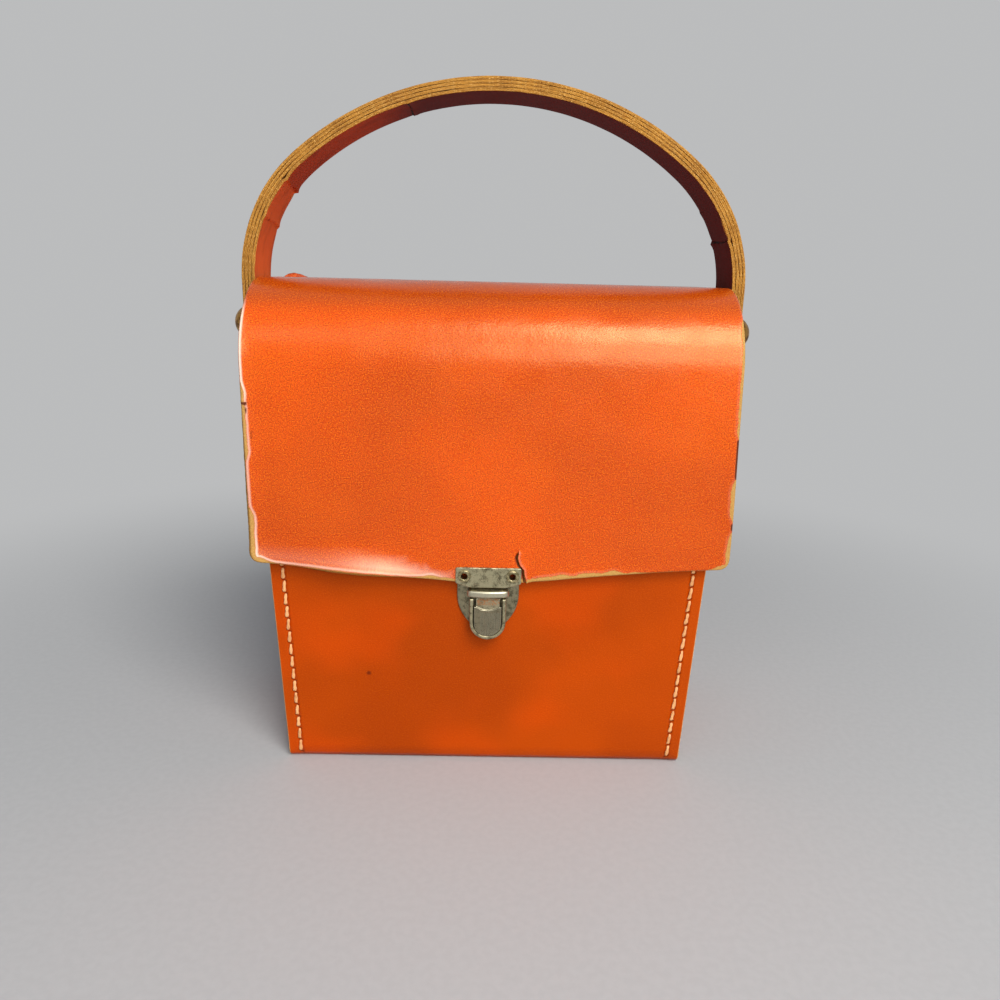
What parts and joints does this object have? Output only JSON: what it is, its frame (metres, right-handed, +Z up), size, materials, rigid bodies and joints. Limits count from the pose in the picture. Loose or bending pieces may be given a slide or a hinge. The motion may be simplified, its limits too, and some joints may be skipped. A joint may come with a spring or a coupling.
{
  "type": "travel bar case",
  "caption": "Boxy leather travel bar case with a hinged lid and front flap, tuck clasp, bottle bays and a strap handle that swings back.",
  "frame": {"origin": "middle of the base, on the floor", "axes": "+Z up, the flap and clasp face -Y, +X to the right seen from the front"},
  "size_m": [0.2312, 0.0992, 0.291],
  "materials": {
    "orange_leather": "waxed, semi-gloss, with worn tan edges",
    "gusset_leather": "waxed, semi-gloss",
    "strap_leather": "waxed outer ply with a raw tan edge",
    "strap_core": "raw vegetable-tanned leather edge",
    "strap_inner": "dark red-brown, cracked",
    "lining": "woven cotton",
    "board": "grey-brown fibreboard",
    "divider": "cloth-covered board",
    "thread": "waxed cotton thread",
    "clasp_metal": "aged nickel plate with dark patina",
    "spring_steel": "plain spring steel",
    "brass": "aged brass"
  },
  "bodies": {
    "case": {"body_wrap": "orange_leather", "gusset_left": "gusset_leather", "gusset_right": "gusset_leather", "front_board": "board", "back_board": "board", "base_board": "board", "wrap_lining": "lining", "gusset_lining_left": "lining", "gusset_lining_right": "lining", "divider_left": "divider", "divider_right": "divider", "stitches_front_left": "thread", "stitches_front_right": "thread", "stitches_back_left": "thread", "stitches_back_right": "thread", "hinge_fold": "orange_leather", "catch_plate": "clasp_metal", "catch_backing_plate": "clasp_metal", "handle_rivet_left": "brass", "handle_rivet_right": "brass", "handle_spacer_left": "brass", "handle_spacer_right": "brass", "handle_burr_left": "brass", "handle_burr_right": "brass"},
    "lid": {"lid_leather": "orange_leather", "lid_lining": "lining", "hasp_plate": "clasp_metal", "hasp_eyelets": "brass", "hasp_backing_plate": "clasp_metal", "button_pin": "spring_steel", "button_spring": "spring_steel"},
    "handle": {"handle_outer_ply": "strap_leather", "handle_core_ply_outer": "strap_core", "handle_core_ply_inner": "strap_core", "handle_inner_ply": "strap_inner", "handle_stud_left": "brass", "handle_stud_right": "brass"},
    "button": {"clasp_button": "clasp_metal"}
  },
  "joints": [
    {"name": "lid_hinge", "type": "hinge", "parent": "case", "child": "lid", "pos_m": [0, 0.04215, 0.20615], "axis": [-1, 0, 0], "range_deg": [0, 110], "deforming": ["hinge_fold"]},
    {"name": "handle_swing", "type": "hinge", "parent": "case", "child": "handle", "pos_m": [0, 0.001, 0.157], "axis": [-1, 0, 0], "range_deg": [0, 110]},
    {"name": "button_press", "type": "hinge", "parent": "lid", "child": "button", "pos_m": [0, -0.051, 0.0662], "axis": [-1, 0, 0], "range_deg": [0, 8], "stiffness_Nm_per_rad": 0.01, "deforming": ["button_spring"]}
  ],
  "couplings": [
    {"joint": "handle_swing", "follows": "lid_hinge", "ratio": 1}
  ]
}
